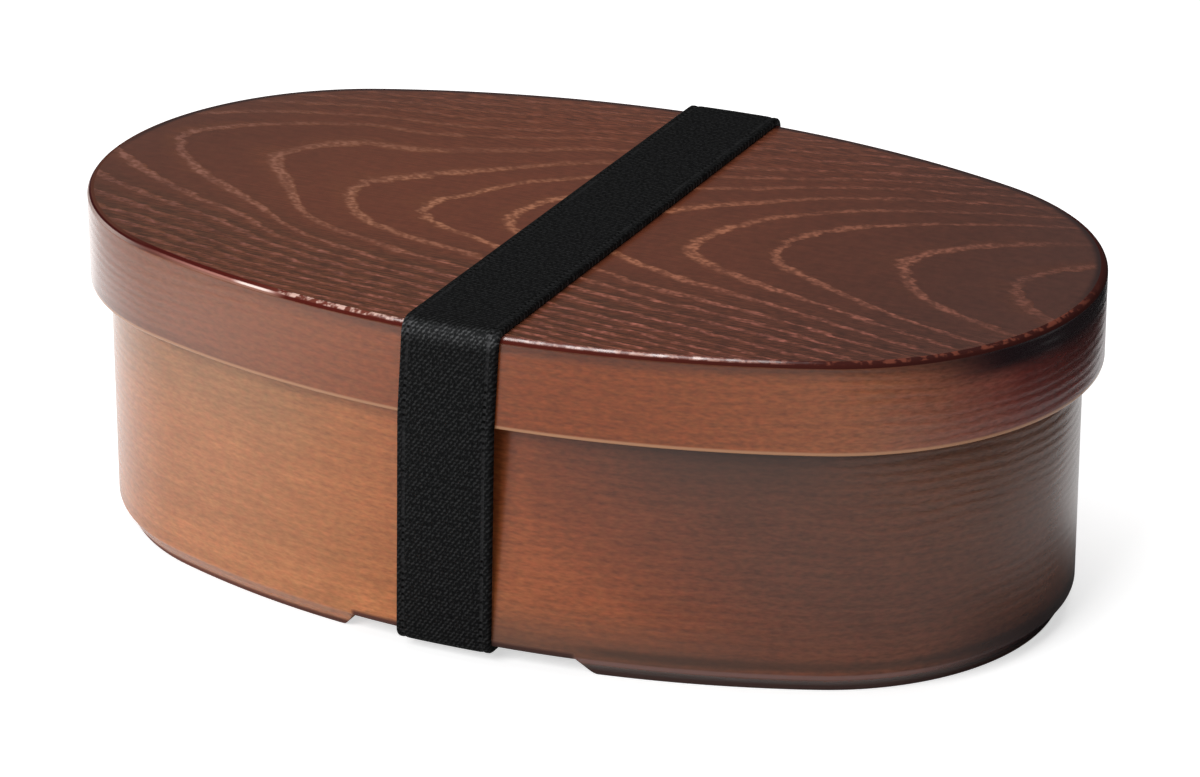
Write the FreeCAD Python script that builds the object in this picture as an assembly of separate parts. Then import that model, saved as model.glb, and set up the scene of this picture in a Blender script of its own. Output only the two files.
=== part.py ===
import FreeCAD
import Part
import math
import os

# Oval one-tier lunch box with a lift-off lid, a sealed inner lid, a loose divider and an elastic band.
# Millimetres. The origin is on the table under the middle of the box, +Z is up, X runs along the length
# and the front long side faces -Y. The band lies over the lid and under the base, in the foot's gaps.

# Lid: an oval of four tangent arcs, two round ends and two bowed long sides
LID_LENGTH = 180.0
LID_WIDTH = 110.5
LONG_SIDE_RADIUS = 162.5
LID_HEIGHT = 16.0
LID_WALL = 2.9
LID_TOP_THICKNESS = 2.5
LID_EDGE_RADIUS = 1.2
LID_LIP_CHAMFER = 0.4
LID_CLEARANCE = 0.6

# Container: the moulded body with its foot
CONTAINER_HEIGHT = 56.2
CONTAINER_WALL = 2.4
BASE_THICKNESS = 2.5
FLOOR_FILLET = 6.0
CONTAINER_EDGE_RADIUS = 1.2
RIM_RADIUS = 0.7
FOOT_HEIGHT = 3.1
FOOT_SETBACK = 2.45
FOOT_TOP_SETBACK = 0.5
FOOT_ROOT = 0.1
FOOT_WIDTH = 4.0
FOOT_EDGE_RADIUS = 0.5
BAND_GAP_WIDTH = 40.5
BAND_GAP_SLOPE = 2.7
FOOT_END_RADIUS = 1.5

# Inner lid: a recessed tray with a flange that lies on the container's rim, and a rib to lift it by
FLANGE_THICKNESS = 1.5
FLANGE_SETBACK = 0.3
PLUG_DEPTH = 6.0
PLUG_CLEARANCE = 0.4
PLUG_WALL = 2.6
PANEL_THICKNESS = 1.2
TRAY_FILLET = 1.0
GRIP_FROM_END = 20.0
GRIP_LENGTH = 24.0
GRIP_THICKNESS = 2.4
GRIP_HEADROOM = 1.2
GRIP_EDGE_RADIUS = 0.8

# Seal: the soft ring in the groove round the inner lid's plug
SEAL_HEIGHT = 2.0
SEAL_DROP = 3.0
GROOVE_DEPTH = 1.4
SEAL_SEAT_GAP = 0.05
SEAL_WALL_GAP = 0.1
SEAL_LIP_RADIUS = 0.6

# Vent plug: a soft button that is pulled up to let air under the inner lid
VENT_FROM_END = 26.0
VENT_HOLE_RADIUS = 2.5
VENT_STEM_GAP = 0.05
VENT_CAP_RADIUS = 5.0
VENT_CAP_HEIGHT = 1.8
VENT_CAP_FILLET = 0.6
VENT_TRAVEL = 2.0
VENT_STOP_GAP = 0.1
VENT_BARB_OVERHANG = 0.7
VENT_BARB_HEIGHT = 1.6

# Divider: a loose upright plate with a curved foot plate at each end
DIVIDER_OFFSET = 22.0
DIVIDER_THICKNESS = 1.6
DIVIDER_END_LENGTH = 16.0
DIVIDER_END_THICKNESS = 1.6
DIVIDER_CLEARANCE = 0.4
DIVIDER_HEADROOM = 0.8

# Band: a loop of woven elastic, pulled on by hand and so a little askew
BAND_WIDTH = 17.0
BAND_THICKNESS = 1.2
BAND_CLEARANCE = 0.15
BAND_SHIFT = 2.4
BAND_SKEW = 0.022
BAND_LEAN = 0.066
LAP_BOTTOM = 12.0
LAP_LENGTH = 15.0

# Stitching: rows of thread that hold the band's lapped ends together, on the back
THREAD_RADIUS = 0.2
THREAD_GAP = 0.02
STITCH_LENGTH = 2.0
STITCH_PITCH = 2.6
STITCH_MARGIN = 2.0
STITCH_ROWS = 3
STITCH_ROW_GAP = 4.5

# The oval's arcs follow from the lid's length, width and long sides
half_length = LID_LENGTH / 2
half_width = LID_WIDTH / 2
end_radius = (half_length**2 - 2 * LONG_SIDE_RADIUS * half_width + half_width**2) / (
    2 * (half_length - LONG_SIDE_RADIUS)
)
end_centre = half_length - end_radius
side_centre = LONG_SIDE_RADIUS - half_width
join_angle = math.atan2(side_centre, end_centre)

# Each wall is the same oval, set in from the lid's outside
container_inset = LID_WALL + LID_CLEARANCE
cavity_inset = container_inset + CONTAINER_WALL
foot_inset = container_inset + FOOT_SETBACK
foot_top_inset = container_inset + FOOT_TOP_SETBACK
plug_inset = cavity_inset + PLUG_CLEARANCE
tray_inset = plug_inset + PLUG_WALL
groove_inset = plug_inset + GROOVE_DEPTH

# Heights, from the table up
edge_z = FOOT_HEIGHT + CONTAINER_EDGE_RADIUS
foot_drop = math.sqrt(CONTAINER_EDGE_RADIUS**2 - (CONTAINER_EDGE_RADIUS - FOOT_TOP_SETBACK)**2)
foot_top_z = edge_z - foot_drop + FOOT_ROOT
floor_z = FOOT_HEIGHT + BASE_THICKNESS
rim_z = CONTAINER_HEIGHT
ceiling_z = rim_z + FLANGE_THICKNESS
lid_top_z = ceiling_z + LID_TOP_THICKNESS
skirt_z = lid_top_z - LID_HEIGHT
plug_z = rim_z - PLUG_DEPTH
panel_z = plug_z + PANEL_THICKNESS
seal_z = rim_z - SEAL_DROP - SEAL_HEIGHT / 2
divider_top_z = plug_z - DIVIDER_HEADROOM
tray_end = half_length - tray_inset
vent_x = VENT_FROM_END - tray_end

# How far from level an edge may be and still count as level
LEVEL_TOLERANCE = 1e-4


def vector(x, y, z):
    return FreeCAD.Vector(x, y, z)


def oval_wire(inset, z):
    """The lid's oval at height z, set in by that much, or out where it is negative."""
    end_r = end_radius - inset
    side_r = LONG_SIDE_RADIUS - inset
    join_x = end_centre + end_r * math.cos(join_angle)
    join_y = end_r * math.sin(join_angle)
    end_x = end_centre + end_r
    side_y = side_r - side_centre
    corners = [vector(join_x, -join_y, z), vector(join_x, join_y, z)]
    corners += [vector(-join_x, join_y, z), vector(-join_x, -join_y, z)]
    middles = [vector(end_x, 0, z), vector(0, side_y, z), vector(-end_x, 0, z), vector(0, -side_y, z)]
    arcs = [Part.Arc(corners[n], middles[n], corners[(n + 1) % 4]).toShape() for n in range(4)]
    return Part.Wire(arcs)


def oval_prism(inset, low, high):
    return Part.Face(oval_wire(inset, low)).extrude(vector(0, 0, high - low))


def oval_ring(outer_inset, inner_inset, low, high):
    return oval_prism(outer_inset, low, high).cut(oval_prism(inner_inset, low, high))


def edges_at(shape, z):
    """The level edges of a shape at that height."""
    boxes = [(edge, edge.BoundBox) for edge in shape.Edges]
    return [edge for edge, box in boxes if max(abs(box.ZMin - z), abs(box.ZMax - z)) < LEVEL_TOLERANCE]


def rounded(shape, radius, z):
    return shape.makeFillet(radius, edges_at(shape, z))


def slab(low_x, high_x):
    """A block between two planes square to X, as wide and tall as the whole box."""
    size = vector(high_x - low_x, 2 * LID_WIDTH, 2 * lid_top_z)
    return Part.makeBox(size.x, size.y, size.z, vector(low_x, -LID_WIDTH, -lid_top_z / 2))


def make_lid():
    outside = rounded(oval_prism(0, skirt_z, lid_top_z), LID_EDGE_RADIUS, lid_top_z)
    outside = outside.makeChamfer(LID_LIP_CHAMFER, edges_at(outside, skirt_z))
    hollow = rounded(oval_prism(LID_WALL, skirt_z, ceiling_z), LID_CLEARANCE, ceiling_z)
    return outside.cut(hollow)


def band_gap():
    """The block cut from the foot where the band passes under, with sloped ends rounded at the table."""
    slope = math.atan2(foot_top_z, BAND_GAP_SLOPE)
    setback = FOOT_END_RADIUS * math.tan(slope / 2)
    top_x = BAND_GAP_WIDTH / 2
    corner_x = top_x + BAND_GAP_SLOPE

    def gap_end(sign):
        """One end's points: at the base, where the rounding starts, its middle, and on the table."""
        base = vector(sign * top_x, 0, foot_top_z)
        on_slope = vector(sign * (corner_x - setback * math.cos(slope)), 0, setback * math.sin(slope))
        table_x = corner_x + setback
        middle_x = table_x - FOOT_END_RADIUS * math.sin(slope / 2)
        middle = vector(sign * middle_x, 0, FOOT_END_RADIUS * (1 - math.cos(slope / 2)))
        return base, on_slope, middle, vector(sign * table_x, 0, 0)

    left = gap_end(-1)
    right = gap_end(1)
    edges = [Part.LineSegment(left[0], left[1]).toShape()]
    edges.append(Part.Arc(left[1], left[2], left[3]).toShape())
    edges.append(Part.LineSegment(left[3], right[3]).toShape())
    edges.append(Part.Arc(right[3], right[2], right[1]).toShape())
    edges.append(Part.LineSegment(right[1], right[0]).toShape())
    edges.append(Part.LineSegment(right[0], left[0]).toShape())
    profile = Part.Face(Part.Wire(edges))
    profile.translate(vector(0, -LID_WIDTH, 0))
    return profile.extrude(vector(0, 2 * LID_WIDTH, 0))


def make_container():
    body = rounded(oval_prism(container_inset, FOOT_HEIGHT, rim_z), CONTAINER_EDGE_RADIUS, FOOT_HEIGHT)
    hollow = rounded(oval_prism(cavity_inset, floor_z, rim_z), FLOOR_FILLET, floor_z)
    shell = rounded(body.cut(hollow), RIM_RADIUS, rim_z)
    return shell.fuse(make_foot()).removeSplitter()


def make_foot():
    """The foot's ring, whose face slopes out and up to the body's rounded edge."""
    foot = Part.makeLoft([oval_wire(foot_inset, 0), oval_wire(foot_top_inset, foot_top_z)], True, True)
    foot = rounded(foot, FOOT_EDGE_RADIUS, 0)
    return foot.cut(oval_prism(foot_inset + FOOT_WIDTH, 0, foot_top_z)).cut(band_gap())


def make_inner_lid():
    flange = oval_prism(container_inset + FLANGE_SETBACK, rim_z, ceiling_z)
    plug = oval_prism(plug_inset, plug_z, rim_z)
    tray = rounded(oval_prism(tray_inset, panel_z, ceiling_z), TRAY_FILLET, panel_z)
    groove = oval_ring(plug_inset, groove_inset, seal_z, seal_z + SEAL_HEIGHT)
    vent_hole = Part.makeCylinder(VENT_HOLE_RADIUS, PANEL_THICKNESS, vector(vent_x, 0, plug_z))
    body = flange.fuse(plug).cut(tray).cut(groove).cut(vent_hole)
    return body.fuse(make_grip()).removeSplitter()


def make_grip():
    """The upright rib on the tray that is pinched to lift the inner lid."""
    top = ceiling_z - GRIP_HEADROOM
    corner = vector(tray_end - GRIP_FROM_END - GRIP_THICKNESS / 2, -GRIP_LENGTH / 2, panel_z)
    rib = Part.makeBox(GRIP_THICKNESS, GRIP_LENGTH, top - panel_z, corner)
    upright = [e for e in rib.Edges if e.BoundBox.ZLength > e.BoundBox.XLength + e.BoundBox.YLength]
    return rounded(rib.makeFillet(GRIP_EDGE_RADIUS, upright), GRIP_EDGE_RADIUS, top)


def make_seal():
    low = seal_z + SEAL_SEAT_GAP
    high = seal_z + SEAL_HEIGHT - SEAL_SEAT_GAP
    outside = oval_prism(cavity_inset + SEAL_WALL_GAP, low, high)
    outside = rounded(rounded(outside, SEAL_LIP_RADIUS, low), SEAL_LIP_RADIUS, high)
    return outside.cut(oval_prism(groove_inset - SEAL_SEAT_GAP, low, high))


def make_vent_plug():
    stem_radius = VENT_HOLE_RADIUS - VENT_STEM_GAP
    barb_top = plug_z - VENT_TRAVEL - VENT_STOP_GAP
    barb_radius = VENT_HOLE_RADIUS + VENT_BARB_OVERHANG
    cap = Part.makeCylinder(VENT_CAP_RADIUS, VENT_CAP_HEIGHT, vector(vent_x, 0, panel_z))
    cap = rounded(cap, VENT_CAP_FILLET, panel_z + VENT_CAP_HEIGHT)
    stem = Part.makeCylinder(stem_radius, panel_z - barb_top, vector(vent_x, 0, barb_top))
    barb = Part.makeCone(stem_radius - VENT_BARB_OVERHANG, barb_radius, VENT_BARB_HEIGHT,
                         vector(vent_x, 0, barb_top - VENT_BARB_HEIGHT))
    return cap.fuse(stem).fuse(barb).removeSplitter()


def make_divider():
    inset = cavity_inset + DIVIDER_CLEARANCE
    space = rounded(oval_prism(inset, floor_z, divider_top_z), FLOOR_FILLET, floor_z)
    plate = slab(DIVIDER_OFFSET - DIVIDER_THICKNESS / 2, DIVIDER_OFFSET + DIVIDER_THICKNESS / 2)
    ends = oval_ring(inset, inset + DIVIDER_END_THICKNESS, floor_z, divider_top_z)
    ends = ends.common(slab(DIVIDER_OFFSET - DIVIDER_END_LENGTH / 2, DIVIDER_OFFSET + DIVIDER_END_LENGTH / 2))
    return space.common(plate.fuse(ends)).removeSplitter()


def taut_form(offset):
    """The shape that a band pulled tight round the closed box lies on, grown by that offset."""
    low = FOOT_HEIGHT - offset
    top = lid_top_z + offset
    body_inset = container_inset - offset
    upper = rounded(oval_prism(-offset, skirt_z, top), LID_EDGE_RADIUS + offset, top)
    straight = Part.makeLoft([oval_wire(body_inset, edge_z), oval_wire(-offset, skirt_z)], True, True)
    lower = rounded(oval_prism(body_inset, low, skirt_z), CONTAINER_EDGE_RADIUS + offset, low)
    return upper.fuse(straight).fuse(lower)


def band_slab():
    """The leaning block that cuts the band's two edges."""
    reach = LID_WIDTH
    corners = []
    for y, z in ((-reach, -lid_top_z), (reach, -lid_top_z), (reach, 2 * lid_top_z), (-reach, 2 * lid_top_z)):
        corners.append(vector(band_middle(y, z) - BAND_WIDTH / 2, y, z))
    face = Part.Face(Part.makePolygon(corners + corners[:1]))
    return face.extrude(vector(BAND_WIDTH, 0, 0))


def band_middle(y, z):
    """X of the band's centre line at that place on the loop."""
    return BAND_SHIFT + BAND_SKEW * y + BAND_LEAN * (z - lid_top_z)


def make_band():
    inside = BAND_CLEARANCE
    outside = inside + BAND_THICKNESS
    loop = taut_form(outside).cut(taut_form(inside))
    lap = taut_form(outside + BAND_THICKNESS).cut(taut_form(outside))
    lap_block = Part.makeBox(2 * LID_LENGTH, LID_WIDTH, LAP_LENGTH, vector(-LID_LENGTH, 0, LAP_BOTTOM))
    return loop.fuse(lap.common(lap_block)).common(band_slab()).removeSplitter()


def lap_surface(x, z):
    """The lap's outer face on the back: its Y and its outward lean at that place."""
    offset = BAND_CLEARANCE + 2 * BAND_THICKNESS
    slope = container_inset / (skirt_z - edge_z)
    radius = LONG_SIDE_RADIUS + offset - container_inset + slope * (z - edge_z)
    return math.sqrt(radius**2 - x**2) - side_centre, slope


def make_stitching():
    count = int((BAND_WIDTH - 2 * STITCH_MARGIN) / STITCH_PITCH)
    lap_middle = LAP_BOTTOM + LAP_LENGTH / 2
    stitches = []
    for row in range(STITCH_ROWS):
        z = lap_middle + (row - (STITCH_ROWS - 1) / 2) * STITCH_ROW_GAP
        for n in range(count):
            x = band_middle(half_width, z) + (n - (count - 1) / 2) * STITCH_PITCH
            y, slope = lap_surface(x, z)
            along = vector(y + side_centre, -x, 0).normalize()
            lift = vector(x, y + side_centre, -slope * (y + side_centre)).normalize()
            start = vector(x, y, z) + lift * (THREAD_RADIUS + THREAD_GAP) - along * (STITCH_LENGTH / 2)
            stitches.append(Part.makeCylinder(THREAD_RADIUS, STITCH_LENGTH, start, along))
    return Part.makeCompound(stitches)


PIECES = {
    "container": make_container,
    "divider": make_divider,
    "inner_lid": make_inner_lid,
    "inner_lid_seal": make_seal,
    "vent_plug": make_vent_plug,
    "lid": make_lid,
    "elastic_band": make_band,
    "band_stitching": make_stitching,
}

os.makedirs("parts", exist_ok=True)
for name, make in PIECES.items():
    shape = make()
    shape.exportStep(f"parts/{name}.step")
    print(f"{name}: {len(shape.Solids)} solids, {shape.Volume / 1000:.2f} cm3, valid {shape.isValid()}")
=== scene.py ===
import bpy
import math
from mathutils import Euler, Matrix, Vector


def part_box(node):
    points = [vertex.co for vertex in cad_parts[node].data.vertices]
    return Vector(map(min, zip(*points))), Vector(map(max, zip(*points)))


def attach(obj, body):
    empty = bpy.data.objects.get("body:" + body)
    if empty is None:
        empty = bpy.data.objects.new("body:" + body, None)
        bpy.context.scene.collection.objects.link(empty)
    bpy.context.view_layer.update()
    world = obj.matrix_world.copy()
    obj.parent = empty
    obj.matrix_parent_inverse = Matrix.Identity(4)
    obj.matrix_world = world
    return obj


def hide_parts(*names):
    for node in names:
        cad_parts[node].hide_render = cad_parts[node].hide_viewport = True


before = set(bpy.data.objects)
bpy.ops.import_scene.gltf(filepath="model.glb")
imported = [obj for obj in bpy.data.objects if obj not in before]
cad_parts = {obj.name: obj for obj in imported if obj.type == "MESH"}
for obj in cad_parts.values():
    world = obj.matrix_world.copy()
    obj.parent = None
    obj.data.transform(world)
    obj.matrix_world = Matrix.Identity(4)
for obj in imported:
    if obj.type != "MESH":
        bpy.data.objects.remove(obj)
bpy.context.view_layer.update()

# The container: one thick-walled resin moulding, lacquered outside in shaded brown over a fine wood grain
# and plain dark inside. Its wall has one section all the way round, spun here round the oval's four arcs.
# The foot is moulded on underneath, with a gap at the front and the back where the band passes.
mm = 0.001
lid_low, lid_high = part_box("lid")
_, container_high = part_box("container")
half_length = lid_high.x
half_width = lid_high.y
long_side_radius = 162.5 * mm
end_radius = (half_length**2 - 2 * long_side_radius * half_width + half_width**2) / (
    2 * (half_length - long_side_radius)
)
end_centre = half_length - end_radius
side_centre = long_side_radius - half_width
join_angle = math.atan2(side_centre, end_centre)
container_inset = half_width - container_high.y
container_wall = 2.4 * mm
container_edge = 1.2 * mm
rim_height = container_high.z
rim_radius = 0.7 * mm
foot_height = 3.1 * mm
base_thickness = 2.5 * mm
floor_height = foot_height + base_thickness
floor_fillet = 6 * mm
fill_inset = 14 * mm
sweep_step = 1.6 * mm
smooth_below = math.radians(35)
drawn_merge = 0.001 * mm
spun_merge = 0.01 * mm
cut_merge = 0.02 * mm


def rounded_section(corners, steps=6):
    """The points of a section given as (inset, height, radius), with each corner rounded to its radius."""
    points = []
    for n, (inset, height, radius) in enumerate(corners):
        corner = Vector((inset, height))
        if radius == 0:
            points.append(corner)
            continue
        before = (Vector(corners[n - 1][:2]) - corner).normalized()
        after = (Vector(corners[(n + 1) % len(corners)][:2]) - corner).normalized()
        half_turn = before.angle(after) / 2
        centre = corner + (before + after).normalized() * radius / math.sin(half_turn)
        reach = radius / math.tan(half_turn)
        start = (corner + before * reach - centre).normalized()
        end = (corner + after * reach - centre).normalized()
        points += [centre + start.slerp(end, s / steps) * radius for s in range(steps + 1)]
    return points


def draw_line(name, points, closed=False):
    """A new object, left in edit mode: one vertex, extruded from point to point."""
    bpy.ops.object.select_all(action="DESELECT")
    bpy.ops.mesh.primitive_plane_add(size=mm, location=points[0])
    drawn = bpy.context.object
    drawn.name = name
    bpy.ops.object.mode_set(mode="EDIT")
    bpy.ops.mesh.select_all(action="SELECT")
    bpy.ops.mesh.merge(type="CENTER")
    stops = points + points[:1] if closed else points
    for before, after in zip(stops, stops[1:]):
        bpy.ops.mesh.extrude_region_move(TRANSFORM_OT_translate={"value": after - before})
    bpy.ops.mesh.select_all(action="SELECT")
    bpy.ops.mesh.remove_doubles(threshold=drawn_merge)
    return drawn


def settle(piece):
    """Back to object mode, with the object at the origin and its place in its mesh."""
    bpy.ops.object.mode_set(mode="OBJECT")
    bpy.ops.object.transform_apply(location=True, rotation=True, scale=True)
    bpy.ops.object.shade_smooth_by_angle(angle=smooth_below)
    return piece


def spin_round_oval(name, section, closed=False):
    """A wall's section, as (inset, height) points, spun round the oval's two ends and two long sides."""
    swept = draw_line(name, [Vector((half_length - p.x, 0, p.y)) for p in section], closed)
    end_arc = (join_angle, end_radius)
    side_arc = (math.pi - 2 * join_angle, long_side_radius)
    right, left = (end_centre, 0, 0), (-end_centre, 0, 0)
    front, back = (0, side_centre, 0), (0, -side_centre, 0)
    route = [(right, end_arc), (front, side_arc), (left, end_arc), (left, end_arc), (back, side_arc)]
    for centre, (turn, radius) in route + [(right, end_arc)]:
        steps = round(turn * radius / sweep_step)
        bpy.ops.mesh.spin(steps=steps, angle=turn, center=centre, axis=(0, 0, 1))
    bpy.ops.mesh.select_all(action="SELECT")
    bpy.ops.mesh.remove_doubles(threshold=spun_merge)
    bpy.ops.mesh.fill_holes(sides=0)
    bpy.ops.mesh.select_all(action="SELECT")
    bpy.ops.mesh.normals_make_consistent(inside=False)
    return settle(swept)


container = spin_round_oval("lacquered_container", rounded_section([
    (fill_inset, foot_height, 0),
    (container_inset, foot_height, container_edge),
    (container_inset, rim_height, rim_radius),
    (container_inset + container_wall, rim_height, rim_radius),
    (container_inset + container_wall, floor_height, floor_fillet),
    (fill_inset, floor_height, 0),
]))

# The foot is a ring of its own section, which a block reaching past it all round cuts at the two gaps.
foot_setback = 2.45 * mm
foot_inset = container_inset + foot_setback
foot_top_setback = 0.5 * mm
foot_top_inset = container_inset + foot_top_setback
foot_width = 4 * mm
foot_edge = 0.5 * mm
foot_root = 0.1 * mm
foot_drop = math.sqrt(container_edge**2 - (container_edge - foot_top_setback)**2)
foot_top = foot_height + container_edge - foot_drop + foot_root
band_gap_width = 40.5 * mm
band_gap_slope = 2.7 * mm
foot_end_radius = 2.2 * mm
gap_margin = 1 * mm
gap_sink = 0.02 * mm
gap_reach = 20 * mm
gap_foot = band_gap_width / 2 + band_gap_slope
gap_crown = band_gap_width / 2 - gap_margin * band_gap_slope / foot_top


def apply_modifier(piece, name, kind, **settings):
    """Give a piece a modifier with those settings and apply it to the mesh."""
    bpy.ops.object.select_all(action="DESELECT")
    piece.select_set(True)
    bpy.context.view_layer.objects.active = piece
    modifier = piece.modifiers.new(name, kind)
    for setting, value in settings.items():
        setattr(modifier, setting, value)
    bpy.ops.object.modifier_apply(modifier=name)


foot = spin_round_oval("foot", rounded_section([
    (foot_top_inset, foot_top, 0),
    (foot_inset, 0, foot_edge),
    (foot_inset + foot_width, 0, foot_edge),
    (foot_inset + foot_width, foot_top, 0),
]), closed=True)
gap_end = rounded_section([
    (gap_crown, foot_top + gap_margin, 0),
    (gap_foot, 0, foot_end_radius),
    (gap_foot + gap_reach, -gap_sink, 0),
    (gap_foot + gap_reach, -gap_margin, 0),
])
gap_outline = gap_end + [Vector((-p.x, p.y)) for p in reversed(gap_end)]
gap = draw_line("band_gap", [Vector((p.x, -half_length, p.y)) for p in gap_outline], closed=True)
bpy.ops.mesh.edge_face_add()
bpy.ops.mesh.extrude_region_move(TRANSFORM_OT_translate={"value": (0, 2 * half_length, 0)})
bpy.ops.mesh.select_all(action="SELECT")
bpy.ops.mesh.normals_make_consistent(inside=False)
settle(gap)
apply_modifier(foot, "gap", "BOOLEAN", operation="DIFFERENCE", object=gap, solver="EXACT")
apply_modifier(container, "foot", "BOOLEAN", operation="UNION", object=foot, solver="EXACT")
bpy.data.objects.remove(gap)
bpy.data.objects.remove(foot)
bpy.ops.object.mode_set(mode="EDIT")
bpy.ops.mesh.select_all(action="SELECT")
bpy.ops.mesh.remove_doubles(threshold=cut_merge)
settle(container)


def set_socket(tree, socket, value):
    """Give a socket a plain value, or link another socket to it."""
    if isinstance(value, bpy.types.NodeSocket):
        tree.links.new(value, socket)
    else:
        socket.default_value = value


def add_node(tree, kind, inputs, **settings):
    """A shader node with its settings made and its inputs, by name or number, set or linked."""
    node = tree.nodes.new("ShaderNode" + kind)
    for name, value in settings.items():
        setattr(node, name, value)
    for name, value in inputs.items():
        set_socket(tree, node.inputs[name], value)
    return node


def reckon(tree, operation, *values):
    """The result of a Math node."""
    return add_node(tree, "Math", dict(enumerate(values)), operation=operation).outputs[0]


def product(tree, first, *others):
    """Masks or values multiplied together."""
    for other in others:
        first = reckon(tree, "MULTIPLY", first, other)
    return first


def factor(tree, mask, amount):
    """A factor of 1 where a mask is 0, and of 1 plus the amount where it is 1."""
    return reckon(tree, "MULTIPLY_ADD", mask, amount, 1)


def ramp(tree, value, low, high):
    """A mask that rises smoothly from 0 at low to 1 at high, or falls where low is the larger."""
    inputs = {"Value": value, "From Min": low, "From Max": high}
    return add_node(tree, "MapRange", inputs, interpolation_type="SMOOTHSTEP").outputs[0]


def window(tree, value, rise, risen, fall, fallen):
    """A mask of 1 from risen to fall, which fades to 0 at rise below them and at fallen above."""
    return product(tree, ramp(tree, value, rise, risen), ramp(tree, value, fallen, fall))


def blotches(tree, place, size, detail=2):
    """Noise from 0 to 1 with blotches of that size, given in millimetres along X, Y and Z."""
    scaled = add_node(tree, "VectorMath", {0: place, 1: size}, operation="DIVIDE").outputs[0]
    return add_node(tree, "TexNoise", {"Vector": scaled, "Scale": 1, "Detail": detail}).outputs["Fac"]


def unevenness(tree, place, size, detail=2):
    """The same noise about 0, from -0.5 to 0.5."""
    return reckon(tree, "SUBTRACT", blotches(tree, place, size, detail), 0.5)


def blend(tree, amount, first, second, mode="MIX"):
    """Two colours mixed by a mask."""
    inputs = {"Factor": amount, 6: first, 7: second}
    return add_node(tree, "Mix", inputs, data_type="RGBA", blend_type=mode).outputs[2]


def tint(tree, colour, amount):
    """A colour made lighter or darker by a value."""
    return add_node(tree, "VectorMath", {0: colour, "Scale": amount}, operation="SCALE").outputs[0]


def lighten(tree, colour, mask, amount):
    """A colour made lighter by an amount where a mask is 1, or darker where the amount is below 0."""
    return tint(tree, colour, factor(tree, mask, amount))


def graded(tree, value, stops):
    """A colour that shades from stop to stop, each given as (value, colour)."""
    low, high = stops[0][0], stops[-1][0]
    share = add_node(tree, "MapRange", {"Value": value, "From Min": low, "From Max": high}).outputs[0]
    shades = add_node(tree, "ValToRGB", {"Fac": share})
    marks = shades.color_ramp.elements
    while len(marks) < len(stops):
        marks.new(0.5)
    for mark, (at, colour) in zip(marks, stops):
        mark.position = (at - low) / (high - low)
        mark.color = (*colour, 1)
    shades.color_ramp.interpolation = "B_SPLINE"
    return shades.outputs["Color"]


def new_effect(name, inputs, outputs):
    """A node group with those sockets, and the sockets inside it that its nodes are wired to."""
    effect = bpy.data.node_groups.new(name, "ShaderNodeTree")
    for socket, kind in inputs.items():
        effect.interface.new_socket(socket, in_out="INPUT", socket_type="NodeSocket" + kind)
    for socket, kind in outputs.items():
        effect.interface.new_socket(socket, in_out="OUTPUT", socket_type="NodeSocket" + kind)
    return effect, effect.nodes.new("NodeGroupInput").outputs, effect.nodes.new("NodeGroupOutput").inputs


def use_effect(tree, effect, **inputs):
    """Place a node group in a material: the sockets it puts out."""
    node = tree.nodes.new("ShaderNodeGroup")
    node.node_tree = effect
    for name, value in inputs.items():
        set_socket(tree, node.inputs[name], value)
    return node.outputs


def new_finish(name):
    """A new material: the material, its node tree and its shader."""
    finish = bpy.data.materials.new(name)
    finish.use_nodes = True
    return finish, finish.node_tree, finish.node_tree.nodes["Principled BSDF"]


def place_in_mm(tree):
    """The place on the object in millimetres, and its X, Y and Z apart."""
    here = tree.nodes.new("ShaderNodeTexCoord").outputs["Object"]
    place = add_node(tree, "VectorMath", {0: here, "Scale": 1 / mm}, operation="SCALE").outputs[0]
    return place, add_node(tree, "SeparateXYZ", {0: place}).outputs


def emboss(tree, shader, height, depth):
    """Raise a pattern's height on the surface, up to a depth."""
    relief = add_node(tree, "Bump", {"Height": height, "Distance": depth})
    set_socket(tree, shader.inputs["Normal"], relief.outputs[0])


# Level grain for the sides: swaying rows of fine lines, with flecks between them.
row_pitch = 1.75
row_sway = 5.0
side_grain, grain_in, grain_out = new_effect(
    "side_grain", {"Place": "Vector"}, {"Shade": "Float", "Red": "Float", "Height": "Float"})
tree = side_grain
place = grain_in["Place"]
xyz = add_node(tree, "SeparateXYZ", {0: place}).outputs
wavy_z = reckon(tree, "MULTIPLY_ADD", blotches(tree, place, (40, 40, 14)), row_sway, xyz["Z"])
rows = reckon(tree, "SINE", product(tree, wavy_z, math.tau / row_pitch))
rows = product(tree, rows, blotches(tree, place, (20, 20, 3)))
flecks = blotches(tree, place, (1.4, 1.4, 0.42), 3)
shade = reckon(tree, "MULTIPLY_ADD", rows, 0.12, reckon(tree, "SUBTRACT", flecks, 0.5))
strength = reckon(tree, "MULTIPLY_ADD", ramp(tree, xyz["X"], -40, 20), 0.4, 0.8)
set_socket(tree, grain_out["Shade"], factor(tree, shade, strength))
set_socket(tree, grain_out["Red"], blotches(tree, place, (1.5, 1.5, 0.8), 1))
set_socket(tree, grain_out["Height"], reckon(tree, "MULTIPLY_ADD", flecks, 1.2, rows))

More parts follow.
